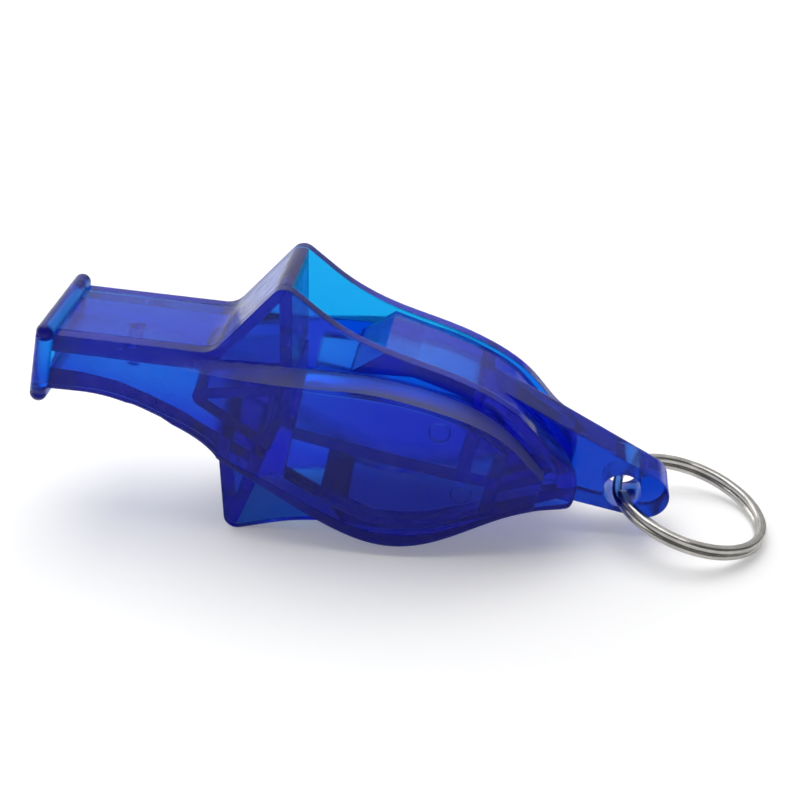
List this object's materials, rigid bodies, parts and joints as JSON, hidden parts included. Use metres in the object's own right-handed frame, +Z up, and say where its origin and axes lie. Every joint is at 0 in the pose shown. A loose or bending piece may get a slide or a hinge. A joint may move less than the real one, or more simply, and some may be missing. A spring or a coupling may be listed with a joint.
{
  "type": "sports whistle",
  "caption": "Pealess sports whistle in clear blue plastic with a lipped mouthpiece, winged fins above and below, side chambers and a split ring on its tail lug.",
  "frame": {"origin": "middle of the bounding box at ground level, with the whistle lying on its lower fin and on the ring's far edge", "axes": "+X from the lips towards the tail and the ring, +Y to the player's left, +Z up"},
  "size_m": [0.0744, 0.0178, 0.0273],
  "materials": {
    "blue_plastic": "clear blue polycarbonate, gloss as moulded",
    "nickel_steel": "bright nickel plate on spring steel"
  },
  "bodies": {
    "whistle": {"left_cheek": "blue_plastic", "right_cheek": "blue_plastic", "mouthpiece_frame": "blue_plastic", "chamber_block": "blue_plastic"},
    "ring": {"split_ring": "nickel_steel"}
  },
  "joints": [
    {"name": "ring_swing", "type": "hinge", "parent": "whistle", "child": "ring", "pos_m": [0.02174, 0, 0.00476], "axis": [0, 1, 0], "range_deg": [-130, 140]}
  ]
}
